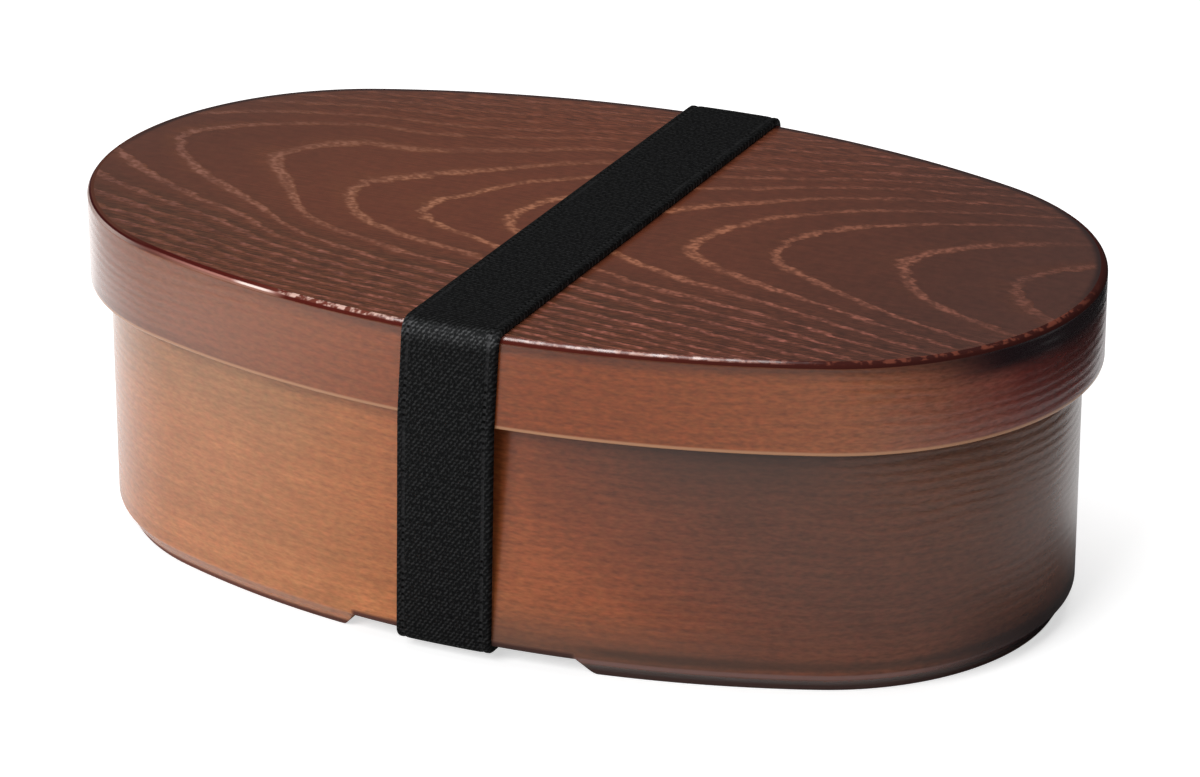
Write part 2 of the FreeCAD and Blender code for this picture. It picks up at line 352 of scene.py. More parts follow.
# The lacquer outside: honey brown at the left end and dark brown at the right, with lines round the foot.
low_shade_tone = (0.072, 0.039, 0.028, 1)
under_skirt_shade_tone = (0.045, 0.022, 0.014, 1)
left_skirt_shadow_tone = (0.83, 0.92, 0.96, 1)
groove_shade_tone = (0.022, 0.015, 0.009, 1)
ledge_highlight_tone = (0.24, 0.090, 0.070, 1)
foot_side_shade_tone = (0.018, 0.007, 0.005, 1)
end_foot_shade_tone = (0.016, 0.006, 0.008, 1)
middle_height = 22
grain_depth = 0.022 * mm
shaded_lacquer, tree, shader = new_finish("shaded_lacquer")
place, xyz = place_in_mm(tree)
grain = use_effect(tree, side_grain, Place=place)
# Partly the lacquer's own shading and partly painted light from the left: it falls from honey to dark brown.
along = reckon(tree, "MULTIPLY_ADD", unevenness(tree, place, (40, 40, 30), 3), 30, xyz["X"])
# Painted shade and light: the slant makes it darker towards the top and lighter towards the bottom at the
# right.
slant = reckon(tree, "MULTIPLY_ADD", ramp(tree, xyz["X"], -15, 25), 0.8, 0.3)
along = reckon(tree, "MULTIPLY_ADD", reckon(tree, "SUBTRACT", xyz["Z"], middle_height), slant, along)
lacquer = graded(tree, along, [
    (-70, (0.41, 0.155, 0.063)),
    (-35, (0.390, 0.152, 0.059)),
    (-12, (0.36, 0.111, 0.033)),
    (8, (0.312, 0.081, 0.024)),
    (30, (0.190, 0.042, 0.011)),
    (55, (0.088, 0.029, 0.015)),
    (80, (0.112, 0.033, 0.015)),
    (98, (0.128, 0.049, 0.026)),
])


def grained(tree, colour, grain, share):
    """A colour flecked with the side grain's lightness and redness."""
    hue = blend(tree, grain["Red"], (0.92, 1.08, 1.04, 1), (1.08, 0.92, 0.96, 1))
    flecked = blend(tree, 1.0, tint(tree, colour, grain["Shade"]), hue, "MULTIPLY")
    return blend(tree, share, colour, flecked)


lacquer = grained(tree, lacquer, grain, 1.0)
lacquer = lighten(tree, lacquer, unevenness(tree, place, (8, 8, 4), 3), 0.4)
# Painted light: lighter low down towards the foot, as if lit from the floor.
near_foot = ramp(tree, xyz["Z"], 15, 4)
lacquer = lighten(tree, lacquer, near_foot, 0.25)
# Painted shade: darker low down, from the band towards the right.
beside_band = window(tree, xyz["X"], -8, 8, 35, 75)
lacquer = blend(tree, product(tree, near_foot, beside_band, 0.8), lacquer, low_shade_tone)
# Painted shadow under the lid's skirt, towards the right.
under_skirt_shade = product(tree, window(tree, xyz["X"], 12, 45, 54, 74), ramp(tree, xyz["Z"], 30, 42))
lacquer = blend(tree, product(tree, under_skirt_shade, 0.6), lacquer, under_skirt_shade_tone)
# Painted shadow under the lid's skirt at the left.
left_skirt_shadow = product(tree, ramp(tree, xyz["X"], -12, -36), ramp(tree, xyz["Z"], 27, 39))
lacquer = blend(tree, left_skirt_shadow, lacquer, left_skirt_shadow_tone, "MULTIPLY")

# Round the foot, painted light: groove shade, a ledge highlight, shade on the foot and a contact shadow
# line.
rightwards = ramp(tree, xyz["X"], -30, 25)
off_middle = reckon(tree, "ABSOLUTE", xyz["X"])
# Painted shade in the groove above the foot.
groove_shade = product(tree, window(tree, xyz["Z"], 4.0, 5.0, 5.6, 6.8), ramp(tree, off_middle, 16, 28))
groove_shade = product(tree, groove_shade, reckon(tree, "MULTIPLY_ADD", rightwards, 0.37, 0.15))
lacquer = blend(tree, groove_shade, lacquer, groove_shade_tone)
# Painted highlight along the ledge at the foot's top.
ledge_highlight = product(tree, window(tree, xyz["Z"], 2.3, 2.8, 3.5, 4.0), rightwards, 0.75)
lacquer = blend(tree, ledge_highlight, lacquer, ledge_highlight_tone)
# Painted shade on the foot's side, growing towards the right.
foot_side_shade = product(tree, ramp(tree, xyz["Z"], 3.0, 1.6), rightwards, 0.85)
lacquer = blend(tree, foot_side_shade, lacquer, foot_side_shade_tone)
# Painted shade low on the right end, above the foot.
end_foot_shade = product(tree, ramp(tree, xyz["Z"], 12, 3), ramp(tree, xyz["X"], 70, 88))
lacquer = blend(tree, end_foot_shade, lacquer, end_foot_shade_tone)
# Painted contact shadow along the foot's bottom edge and under the wall in the band's gap.
ground_contact_shade = ramp(tree, xyz["Z"], 3.8 * foot_edge / mm, 1.6 * foot_edge / mm)
in_gap = ramp(tree, off_middle, 20.8, 19.8)
under_wall_shade = product(tree, ramp(tree, xyz["Z"], 4.9, 4.1), in_gap)
contact_shade_lines = reckon(tree, "MAXIMUM", ground_contact_shade, under_wall_shade)
contact_shade_tone = graded(tree, xyz["X"], [(-70, (0.21, 0.055, 0.030)), (10, (0.012, 0.004, 0.003))])
lacquer = blend(tree, contact_shade_lines, lacquer, contact_shade_tone)
set_socket(tree, shader.inputs["Base Color"], lacquer)
set_socket(tree, shader.inputs["Roughness"], reckon(tree, "MULTIPLY_ADD", contact_shade_lines, 0.55, 0.25))
shader.inputs["Specular IOR Level"].default_value = 0.5
emboss(tree, shader, grain["Height"], grain_depth)

# The lacquer inside: plain and dark, over the skin that a mould leaves.
moulded_skin, skin_in, skin_out = new_effect(
    "moulded_skin", {"Place": "Vector"}, {"Shade": "Float", "Height": "Float"})
set_socket(moulded_skin, skin_out["Shade"], blotches(moulded_skin, skin_in["Place"], (16, 16, 16), 3))
set_socket(moulded_skin, skin_out["Height"], blotches(moulded_skin, skin_in["Place"], (0.5, 0.5, 0.5), 3))


def moulded_finish(name, dark, light, depth):
    """A finish clouded between two shades: the material, its node tree, its shader and its skin."""
    finish, tree, shader = new_finish(name)
    place, _ = place_in_mm(tree)
    skin = use_effect(tree, moulded_skin, Place=place)
    shade = blend(tree, skin["Shade"], (*dark, 1), (*light, 1))
    set_socket(tree, shader.inputs["Base Color"], shade)
    emboss(tree, shader, skin["Height"], depth)
    return finish, tree, shader, skin


dark_lacquer, _, shader, _ = moulded_finish(
    "dark_lacquer", (0.016, 0.010, 0.008), (0.030, 0.018, 0.013), 0.01 * mm)
shader.inputs["Roughness"].default_value = 0.3


def oval_inset(spot):
    """How far a spot lies in from the lid's outside, seen from above."""
    x, y = abs(spot.x), abs(spot.y)
    if math.atan2(y, x - end_centre) < join_angle:
        return end_radius - math.hypot(x - end_centre, y)
    return long_side_radius - math.hypot(x, y + side_centre)


def coat(piece, outside, inside, inner_from, low, high):
    """Lacquer a piece outside, and inside on the faces past an inset and between two heights."""
    piece.data.materials.append(outside)
    piece.data.materials.append(inside)
    for face in piece.data.polygons:
        spot = face.center
        face.material_index = int(oval_inset(spot) > inner_from and low < spot.z < high)


coat(container, shaded_lacquer, dark_lacquer, container_inset + container_wall / 2,
     floor_height - container_edge, rim_height + container_edge)
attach(container, "container")
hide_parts("container")

# The divider: a loose upright plate of injection-moulded polypropylene with a curved plate at each end,
# which slides in from above and makes two compartments. The mould leaves it dark and finely matt.
dark_plastic, tree, shader, skin = moulded_finish(
    "dark_plastic", (0.050, 0.026, 0.018), (0.085, 0.045, 0.031), 0.02 * mm)
set_socket(tree, shader.inputs["Roughness"], reckon(tree, "MULTIPLY_ADD", skin["Shade"], 0.2, 0.35))


def refinish(node, finish):
    """Give a CAD node that is shown as it is its real finish."""
    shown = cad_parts[node]
    shown.data.materials.clear()
    shown.data.materials.append(finish)


refinish("divider", dark_plastic)

# The inner lid: a tray of soft frosted polypropylene that lies on the container's rim and plugs its mouth.
# It is moulded in one piece with the rib that fingers pinch to lift it.
frosted_plastic, tree, shader, skin = moulded_finish(
    "frosted_plastic", (0.74, 0.73, 0.69), (0.84, 0.83, 0.80), 0.02 * mm)
set_socket(tree, shader.inputs["Roughness"], reckon(tree, "MULTIPLY_ADD", skin["Shade"], 0.25, 0.3))
shader.inputs["Transmission Weight"].default_value = 0.25
shader.inputs["IOR"].default_value = 1.49
refinish("inner_lid", frosted_plastic)

# The seal: a ring of clear silicone rubber, stretched into the groove round the inner lid's plug.
# The vent button beside the rib is pressed from the same rubber and snaps into its hole by its barb.
silicone, tree, shader, skin = moulded_finish(
    "silicone", (0.62, 0.63, 0.62), (0.72, 0.73, 0.72), 0.015 * mm)
set_socket(tree, shader.inputs["Roughness"], reckon(tree, "MULTIPLY_ADD", skin["Height"], 0.2, 0.42))
shader.inputs["Subsurface Weight"].default_value = 0.3
shader.inputs["Subsurface Radius"].default_value = (2 * mm, 2 * mm, 2 * mm)
refinish("inner_lid_seal", silicone)
refinish("vent_plug", silicone)

# The lid: a second resin moulding with a flat top, a rounded upper edge and a skirt that drops over the
# container. Its top is printed and wiped to look like flat-sawn ash, with pale pores along the year rings.
# The skirt carries the same finish with the grain running level; the red edge between has painted
# highlights.
lid_wall = 2.9 * mm
lid_edge = 1.2 * mm
lid_lip = 0.4 * mm
lid_top_thickness = 2.5 * mm
ceiling_height = lid_high.z - lid_top_thickness
lid_hollow_fillet = 0.6 * mm
lid = spin_round_oval("lacquered_lid", rounded_section([
    (fill_inset, lid_high.z, 0),
    (0, lid_high.z, lid_edge),
    (0, lid_low.z, lid_lip),
    (lid_wall, lid_low.z, lid_lip),
    (lid_wall, ceiling_height, lid_hollow_fillet),
    (fill_inset, ceiling_height, 0),
]))

# The year rings, in millimetres: arches nested round a heart line, given as (X, Y), that wanders along the
# lid. The arches' tips are given as distances left of the middle, and more rings follow past both ends.
heart_line = [(-92, 6), (-79, 6), (-59, 5), (-40.5, -6), (-26.5, -8), (-12, -4.5), (5, -5), (21, -4),
              (36, 0), (56.5, 2), (76, 1), (92, 1)]
heart_reach = 20
arch_tips = [-78.9, -58.1, -36.7, -22.2, -6, 11, 25.6, 40.5, 59.1, 78.9]
arch_bend = 0.059
arch_lean = -0.007
tip_width = 6
rings_past_right = 3
right_ring_step = 19
rings_past_left = 13
left_ring_step = 15
mean_ring_step = 16.5
ring_places = [arch_tips[0] - right_ring_step * n for n in range(rings_past_right, 0, -1)] + arch_tips
ring_places += [arch_tips[-1] + left_ring_step * n for n in range(1, rings_past_left + 1)]


def curve_through(tree, value, points, smooth):
    """A value read off a curve drawn through points."""
    low_x, high_x = points[0][0], points[-1][0]
    low_y = min(y for x, y in points)
    high_y = max(y for x, y in points)
    inputs = {"Value": value, "From Min": low_x, "From Max": high_x}
    share = add_node(tree, "MapRange", inputs).outputs[0]
    drawn = add_node(tree, "FloatCurve", {"Value": share})
    marks = drawn.mapping.curves[0].points
    while len(marks) < len(points):
        marks.new(0.5, 0.5)
    for mark, (x, y) in zip(marks, points):
        mark.location = ((x - low_x) / (high_x - low_x), (y - low_y) / (high_y - low_y))
        mark.handle_type = "AUTO" if smooth else "VECTOR"
    drawn.mapping.update()
    return reckon(tree, "MULTIPLY_ADD", drawn.outputs[0], high_y - low_y, low_y)


top_grain, top_in, top_out = new_effect(
    "top_grain", {"Place": "Vector"},
    {"Line": "Float", "Early": "Float", "Late": "Float", "Limb": "Float", "Ring": "Float"})
tree = top_grain
place = top_in["Place"]
xyz = add_node(tree, "SeparateXYZ", {0: place}).outputs
heart = curve_through(tree, xyz["X"], heart_line, True)
reach = reckon(tree, "DIVIDE", xyz["Y"], heart_reach)
pull = reckon(tree, "DIVIDE", heart, reckon(tree, "MULTIPLY_ADD", reach, reach, 1))
across = reckon(tree, "SUBTRACT", xyz["Y"], pull)
side_of_heart = reckon(tree, "TANH", reckon(tree, "DIVIDE", across, tip_width))
bend = reckon(tree, "MULTIPLY_ADD", side_of_heart, arch_lean, arch_bend)
slope = product(tree, across, bend, 2)
steepness = reckon(tree, "SQRT", reckon(tree, "MULTIPLY_ADD", slope, slope, 1))

# The limbs are the arches' long sides, where the rings crowd together and the pores break into dashes.
limbs = ramp(tree, steepness, 1.5, 5)
arch = reckon(tree, "SUBTRACT", product(tree, across, across, bend), xyz["X"])
arch = reckon(tree, "MULTIPLY_ADD", unevenness(tree, place, (28, 16, 28), 1), 6.0, arch)
arch = reckon(tree, "MULTIPLY_ADD", unevenness(tree, place, (5, 2, 5)), 4.0, arch)
wobble = product(tree, unevenness(tree, place, (7, 1.1, 7)), limbs)
arch = reckon(tree, "MULTIPLY_ADD", wobble, 12.0, arch)
count = curve_through(tree, arch, [(at, n) for n, at in enumerate(ring_places)], False)
year = reckon(tree, "FRACT", count)
past_ring = reckon(tree, "DIVIDE", product(tree, year, mean_ring_step), steepness)
past_ring = product(tree, past_ring, reckon(tree, "MULTIPLY_ADD", steepness, 0.115, 0.33))
past_ring = product(tree, past_ring, factor(tree, ramp(tree, xyz["X"], 35, 75), 0.4))
pore_band = window(tree, past_ring, 0.0, 0.3, 0.7, 1.3)
patches = ramp(tree, blotches(tree, place, (9, 5, 9), 1), 0.25, 0.6)
pores = ramp(tree, blotches(tree, place, (1.1, 0.8, 1.1)), 0.38, 0.66)
pores = reckon(tree, "MULTIPLY_ADD", pores, 0.8, 0.2)
pores = product(tree, pores, reckon(tree, "MULTIPLY_ADD", patches, 0.5, 0.5))
dashes = ramp(tree, blotches(tree, place, (4, 1.2, 4)), 0.3, 0.62)
dashes = product(tree, reckon(tree, "SUBTRACT", 1, dashes), limbs)
pores = product(tree, pores, factor(tree, dashes, -0.75))
faintness = factor(tree, limbs, -0.12)
faintness = product(tree, faintness, factor(tree, ramp(tree, xyz["Y"], 0, 28), -0.55))
faintness = product(tree, faintness, factor(tree, ramp(tree, xyz["X"], 62, 84), -0.4))
late_wood = reckon(tree, "MULTIPLY_ADD", ramp(tree, year, 0.4, 0.95), 0.9, 0.45)
set_socket(tree, top_out["Line"], product(tree, pore_band, pores, faintness))
set_socket(tree, top_out["Early"], product(tree, ramp(tree, year, 0.5, 0.0), patches))
set_socket(tree, top_out["Late"], product(tree, limbs, late_wood))
set_socket(tree, top_out["Limb"], limbs)
set_socket(tree, top_out["Ring"], pore_band)

# How far each point lies in from the lid's outside, for the finish to read.
edge_distance = lid.data.attributes.new("edge_distance", "FLOAT", "POINT")
for vertex, distance in zip(lid.data.vertices, edge_distance.data):
    distance.value = oval_inset(vertex.co) / mm

# The lacquer on the top and the skirt. A drop is measured down from the top.
late_wood_tone = (0.70, 0.86, 0.84, 1)
far_edge_shade_tone = (0.020, 0.006, 0.005, 1)
under_rim_shade_tone = (0.022, 0.010, 0.008, 1)
end_shade_tone = (0.012, 0.004, 0.006, 1)
lip_tone = (0.40, 0.190, 0.095, 1)
ash_lacquer, tree, shader = new_finish("ash_lacquer")
place, xyz = place_in_mm(tree)
top = use_effect(tree, top_grain, Place=place)
side = use_effect(tree, side_grain, Place=place)
drop = reckon(tree, "SUBTRACT", lid_high.z / mm, xyz["Z"])
wood = graded(tree, xyz["X"], [
    (-85, (0.095, 0.030, 0.017)),
    (-45, (0.130, 0.034, 0.015)),
    (-10, (0.130, 0.033, 0.015)),
    (30, (0.108, 0.028, 0.013)),
    (60, (0.077, 0.022, 0.012)),
    (88, (0.073, 0.026, 0.018)),
])
golden = graded(tree, xyz["X"], [
    (-60, (0.150, 0.048, 0.020)),
    (-10, (0.165, 0.047, 0.016)),
    (60, (0.092, 0.027, 0.014)),
])
wood = blend(tree, product(tree, top["Early"], 0.6), wood, golden)
wood = lighten(tree, wood, unevenness(tree, place, (6, 0.5, 6), 3), 0.55)
towards_front = reckon(tree, "MULTIPLY_ADD", ramp(tree, xyz["Y"], 10, -25), 0.75, 0.25)
less_right = factor(tree, ramp(tree, xyz["X"], 5, 50), -0.8)
late_shade = product(tree, top["Late"], towards_front, less_right)
wood = blend(tree, late_shade, wood, late_wood_tone, "MULTIPLY")
wood = grained(tree, wood, side, 0.45)
pore = graded(tree, xyz["X"], [
    (-80, (0.24, 0.098, 0.074)),
    (-30, (0.38, 0.155, 0.082)),
    (10, (0.40, 0.147, 0.074)),
    (50, (0.35, 0.123, 0.074)),
    (88, (0.21, 0.074, 0.054)),
])
pink_pore = graded(tree, xyz["X"], [
    (-85, (0.185, 0.066, 0.054)),
    (-40, (0.250, 0.088, 0.064)),
    (10, (0.335, 0.109, 0.078)),
    (50, (0.400, 0.128, 0.092)),
    (88, (0.280, 0.090, 0.070)),
])
wood = blend(tree, top["Line"], wood, blend(tree, top["Limb"], pore, pink_pore))
ticks = ramp(tree, blotches(tree, place, (2.6, 0.42, 2.6)), 0.36, 0.64)
ticks = product(tree, reckon(tree, "SUBTRACT", ticks, 0.46), top["Limb"])
wood = lighten(tree, wood, ticks, 0.6)
edge = add_node(tree, "Attribute", {}, attribute_name="edge_distance").outputs["Fac"]
# Painted shade along the far edge of the top.
far_edge_shade = product(tree, ramp(tree, edge, 2.6, 1.4), ramp(tree, xyz["Y"], -12, 12))
wood = blend(tree, far_edge_shade, wood, far_edge_shade_tone)
along = reckon(tree, "MULTIPLY_ADD", unevenness(tree, place, (40, 40, 30), 3), 16, xyz["X"])
# The skirt's tone along the lid; its darkening at the right end is painted shade.
skirt = graded(tree, along, [
    (-85, (0.180, 0.070, 0.045)),
    (-40, (0.241, 0.078, 0.031)),
    (20, (0.190, 0.032, 0.002)),
    (66, (0.264, 0.080, 0.027)),
    (77, (0.216, 0.071, 0.039)),
    (83, (0.206, 0.058, 0.040)),
    (87, (0.130, 0.014, 0.010)),
    (91, (0.026, 0.004, 0.004)),
])
skirt = grained(tree, skirt, side, 1.0)
# Painted shade just under the rim, from the left to the middle.
under_rim_shade = product(tree, ramp(tree, drop, 3.6, 1.0), ramp(tree, xyz["X"], -75, 5), 0.6)
skirt = blend(tree, under_rim_shade, skirt, under_rim_shade_tone)
# Painted dark reflection under the rim at the right end, darkest just below it.
end_shade = product(tree, ramp(tree, drop, 6.5, 3.2), ramp(tree, xyz["X"], 72, 85))
skirt = blend(tree, end_shade, skirt, end_shade_tone)
# Painted shade: a little darker just above the lip at the left.
above_lip_shade = ramp(tree, xyz["Z"], (lid_low.z + 6.5 * lid_lip) / mm, (lid_low.z + 3 * lid_lip) / mm)
skirt = lighten(tree, skirt, product(tree, above_lip_shade, ramp(tree, xyz["X"], -25, -55)), -0.2)
lip = ramp(tree, xyz["Z"], (lid_low.z + 2.2 * lid_lip) / mm, (lid_low.z + 1.2 * lid_lip) / mm)
skirt = blend(tree, lip, skirt, lip_tone)
on_top = ramp(tree, drop, 0.25, 0.05)
set_socket(tree, shader.inputs["Base Color"], blend(tree, on_top, skirt, wood))
shader.inputs["Roughness"].default_value = 0.25
shader.inputs["Specular IOR Level"].default_value = 0.5
skirt_height = product(tree, side["Height"], ramp(tree, drop, 0.1, 1.5))
height = reckon(tree, "ADD", product(tree, top["Line"], on_top), skirt_height)
emboss(tree, shader, height, grain_depth)

# The edge: dark red, painted with highlights along the front, and polished to a broken line of light.
rim_wood_tone = (0.080, 0.028, 0.018, 1)
glint_zone_red_tone = (0.15, 0.037, 0.024, 1)
left_lower_sheen_tone = (0.28, 0.130, 0.095, 1)
left_sheen_tone = (0.38, 0.165, 0.135, 1)
glint_tone = (0.90, 0.72, 0.66, 1)
left_glint_bead_tone = (0.62, 0.40, 0.34, 1)
middle_glint_bead_tone = (0.46, 0.24, 0.19, 1)
right_glint_bead_tone = (0.22, 0.060, 0.036, 1)
red_share = 0.75
red_edge, tree, shader = new_finish("red_edge")
place, xyz = place_in_mm(tree)
top = use_effect(tree, top_grain, Place=place)
drop = reckon(tree, "SUBTRACT", lid_high.z / mm, xyz["Z"])
rim = graded(tree, xyz["X"], [
    (-75, (0.024, 0.001, 0.002)),
    (-40, (0.085, 0.009, 0.006)),
    (30, (0.075, 0.010, 0.005)),
    (75, (0.030, 0.008, 0.007)),
])
front = ramp(tree, xyz["Y"], 10, -10)
left_end = ramp(tree, xyz["X"], -58, -72)
rim = blend(tree, product(tree, ramp(tree, drop, 0.2, 0.1), left_end), rim, rim_wood_tone)
# Painted sheen: a pale line low on the edge at the front of the left end.
left_end_sheen = graded(tree, xyz["X"], [(-90, (0.42, 0.34, 0.32)), (-60, (0.30, 0.19, 0.16))])
rim = blend(tree, product(tree, ramp(tree, drop, 0.34, 0.46), left_end, front), rim, left_end_sheen)
# Painted highlight: a lighter red on the front of the edge's upper half, where the glint falls.
glint_zone = product(tree, ramp(tree, drop, 0.45, 0.25), front)
below_glint_zone = product(tree, window(tree, drop, 0.22, 0.36, 0.48, 0.66), front)
middle = window(tree, xyz["X"], -42, -22, 40, 60)
rim = blend(tree, product(tree, glint_zone, middle), rim, glint_zone_red_tone)
# Painted sheen at the front left: a pink line below the glint zone, over a paler brown lower down.
left_sheen = window(tree, xyz["X"], -68, -44, -34, -30)
left_lower_sheen = product(tree, ramp(tree, drop, 0.48, 0.66), left_sheen, front)
rim = blend(tree, left_lower_sheen, rim, left_lower_sheen_tone)
rim = blend(tree, product(tree, below_glint_zone, left_sheen), rim, left_sheen_tone)
# Painted glint at the front left, where the edge's light falls lower.
left_glint = window(tree, xyz["X"], -42, -39, -35, -32)
rim = blend(tree, product(tree, below_glint_zone, left_glint), rim, glint_tone)
# Painted glints in beads along the front of the edge: pale at the left, pink in the middle, red at the
# right.
glint_beads = product(tree, ramp(tree, blotches(tree, place, (1.5, 1.5, 1.5)), 0.46, 0.6), glint_zone)
left_glint_beads = window(tree, xyz["X"], -33, -30, -9, -4)
rim = blend(tree, product(tree, glint_beads, left_glint_beads), rim, left_glint_bead_tone)
middle_glint_beads = product(tree, window(tree, xyz["X"], 6, 18, 44, 60), 0.75)
rim = blend(tree, product(tree, glint_beads, middle_glint_beads), rim, middle_glint_bead_tone)
right_glint_beads = product(tree, ramp(tree, xyz["X"], 42, 56), 0.6)
rim = blend(tree, product(tree, glint_beads, right_glint_beads), rim, right_glint_bead_tone)
set_socket(tree, shader.inputs["Base Color"], rim)
shader.inputs["Roughness"].default_value = 0.6
shader.inputs["Specular IOR Level"].default_value = 0.04
breaks = ramp(tree, blotches(tree, place, (3.2, 3.2, 3.2)), 0.56, 0.44)
breaks = product(tree, breaks, ramp(tree, xyz["X"], -6, 24), 0.65)
breaks = reckon(tree, "MAXIMUM", breaks, product(tree, top["Ring"], 0.45))
polish = product(tree, window(tree, xyz["X"], -16, -6, 40, 62), glint_zone)
polish = product(tree, polish, reckon(tree, "SUBTRACT", 1, breaks))
set_socket(tree, shader.inputs["Coat Weight"], polish)
shader.inputs["Coat Roughness"].default_value = 0.24
shader.inputs["Coat IOR"].default_value = 2.6

coat(lid, ash_lacquer, dark_lacquer, lid_wall / 2, lid_low.z - lid_edge, ceiling_height + lid_edge / 2)
lid.data.materials.append(red_edge)
for face in lid.data.polygons:
    fall = lid_high.z - face.center.z
    if oval_inset(face.center) < lid_edge and 0 < fall < red_share * lid_edge:
        face.material_index = lid.data.materials.find("red_edge")
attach(lid, "lid")
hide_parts("lid")

# The band: a loop of black twill-woven elastic with a raised selvedge along each edge, pulled tight over
# the lid and under the base by hand, and so a little askew. It hangs clear of the container below the skirt.
# Its two ends lap on the back.
band_width = 17 * mm
band_thickness = 1.2 * mm
band_clearance = 0.15 * mm
skirt_bend = 6 * mm
lap_bottom = 12 * mm
lap_length = 15 * mm
band_face = band_clearance + band_thickness
taut_from = foot_height + container_edge
taut_slope = container_inset / (lid_low.z - taut_from)
band_low = foot_height - band_face
band_low_y = container_high.y + band_face - taut_slope * (taut_from - band_low)

# Its middle lies right of the box's at the lid's top, further right behind and further left lower down.
band_shift = 2.4 * mm
band_skew = 0.022
band_lean = 0.066

# The selvedge in millimetres, as (distance in from the edge, how proud of the face it stands).
selvedge_profile = [(0, -0.45), (0.12, -0.2), (0.35, -0.04), (0.75, 0), (1.1, -0.05), (1.35, -0.16),
                    (1.6, -0.05), (2.0, 0), (4.5, 0)]


def band_stations():
    """Across the band, from edge to edge: the distance from its middle, and how proud its face stands."""
    left = [(edge * mm - band_width / 2, proud * mm) for edge, proud in selvedge_profile]
    return left + [(0, 0)] + [(-across, proud) for across, proud in reversed(left)]


def weave_band(name, path, closed):
    """A stretch of band along a path of (y, z) points on its face, leaning and skewed as it lies."""
    stations = band_stations()
    start = stations[0][0]
    ribbon = draw_line(name, [Vector((start, p.x, p.y)) for p in path], closed)
    for (before, _), (after, _) in zip(stations, stations[1:]):
        bpy.ops.mesh.extrude_region_move(TRANSFORM_OT_translate={"value": (after - before, 0, 0)})
    bpy.ops.mesh.select_all(action="SELECT")
    bpy.ops.mesh.normals_make_consistent(inside=False)
    settle(ribbon)

    lengths = [0.0]
    for before, after in zip(path, path[1:] + path[:1]):
        lengths.append(lengths[-1] + (after - before).length)
    spots = {(round(p.x / mm, 3), round(p.y / mm, 3)): n for n, p in enumerate(path)}
    steps = [spots[round(v.co.y / mm, 3), round(v.co.z / mm, 3)] for v in ribbon.data.vertices]
    weave = ribbon.data.uv_layers.new(name="weave")
    for face in ribbon.data.polygons:
        at_seam = closed and {0, len(path) - 1} <= {steps[v] for v in face.vertices}
        for corner, v in zip(face.loop_indices, face.vertices):
            step = len(path) if at_seam and steps[v] == 0 else steps[v]
            weave.data[corner].uv = (ribbon.data.vertices[v].co.x / mm, lengths[step] / mm)

    proud = {round(across / mm, 3): height for across, height in stations}
    outwards = [v.normal.copy() for v in ribbon.data.vertices]
    heights = [proud[round(v.co.x / mm, 3)] for v in ribbon.data.vertices]
    face_count = len(ribbon.data.vertices)
    apply_modifier(ribbon, "thickness", "SOLIDIFY",
                   thickness=band_thickness, offset=-1, use_even_offset=True)
    for v, outward, height in zip(ribbon.data.vertices[:face_count], outwards, heights):
        v.co += outward * height
    for v in ribbon.data.vertices:
        bow = math.sqrt(long_side_radius**2 - v.co.x**2) - side_centre
        middle = band_shift + band_skew * v.co.y + band_lean * (v.co.z - lid_high.z)
        v.co.y *= bow / half_width
        v.co.x += middle
    bpy.ops.object.shade_smooth_by_angle(angle=smooth_below)
    return ribbon


bend_radius = lid_edge + band_face
band_path = rounded_section([
    (-half_width - band_face, lid_high.z + band_face, bend_radius),
    (-half_width - band_face, lid_low.z, skirt_bend),
    (-band_low_y, band_low, bend_radius),
    (band_low_y, band_low, bend_radius),
    (half_width + band_face, lid_low.z, skirt_bend),
    (half_width + band_face, lid_high.z + band_face, bend_radius),
], steps=8)
band = weave_band("woven_elastic_band", band_path, True)


def lap_face(height):
    """How far back the lap's face lies at a height."""
    return container_high.y + band_face + band_thickness + taut_slope * (height - taut_from)


lap_path = [Vector((lap_face(height), height)) for height in (lap_bottom, lap_bottom + lap_length)]
lap = weave_band("band_lap", lap_path, False)


def join_to(piece, others):
    """Join other objects to a piece, as one object with the piece's name."""
    bpy.ops.object.select_all(action="DESELECT")
    for other in others:
        other.select_set(True)
    piece.select_set(True)
    bpy.context.view_layer.objects.active = piece
    bpy.ops.object.join()


join_to(band, [lap])

# The weave, in millimetres across and along the band: twill lines, picks and eyelets along each edge.
twill_across = 0.85
twill_along = 1.15
pick_pitch = 0.62
eyelet_pitch = 1.3
weave_depth = 0.12 * mm
yarn_dark = (0.0042, 0.0043, 0.0045, 1)
yarn_lit = (0.0275, 0.028, 0.0285, 1)
selvedge_tone = (0.030, 0.030, 0.031, 1)
eyelet_tone = (0.001, 0.001, 0.001, 1)


def wave(tree, angle):
    """A wave from 0 to 1."""
    return reckon(tree, "MULTIPLY_ADD", reckon(tree, "SINE", angle), 0.5, 0.5)


black_elastic, tree, shader = new_finish("black_elastic")
weave_uv = add_node(tree, "UVMap", {}, uv_map="weave").outputs[0]
weave = add_node(tree, "SeparateXYZ", {0: weave_uv}).outputs
drift = blotches(tree, weave_uv, (5, 5, 5))
lines_across = reckon(tree, "DIVIDE", weave["X"], twill_across)
lines_along = reckon(tree, "DIVIDE", weave["Y"], twill_along)
diagonal = reckon(tree, "MULTIPLY_ADD", drift, 0.9, reckon(tree, "ADD", lines_across, lines_along))
twill = wave(tree, product(tree, diagonal, math.tau))
picks = wave(tree, product(tree, reckon(tree, "DIVIDE", weave["Y"], pick_pitch), math.tau))
yarn = reckon(tree, "MULTIPLY_ADD", picks, 0.4, product(tree, twill, 0.6))
fuzz = blotches(tree, weave_uv, (0.5, 0.8, 0.5), 3)
edge = reckon(tree, "SUBTRACT", band_width / 2 / mm, reckon(tree, "ABSOLUTE", weave["X"]))
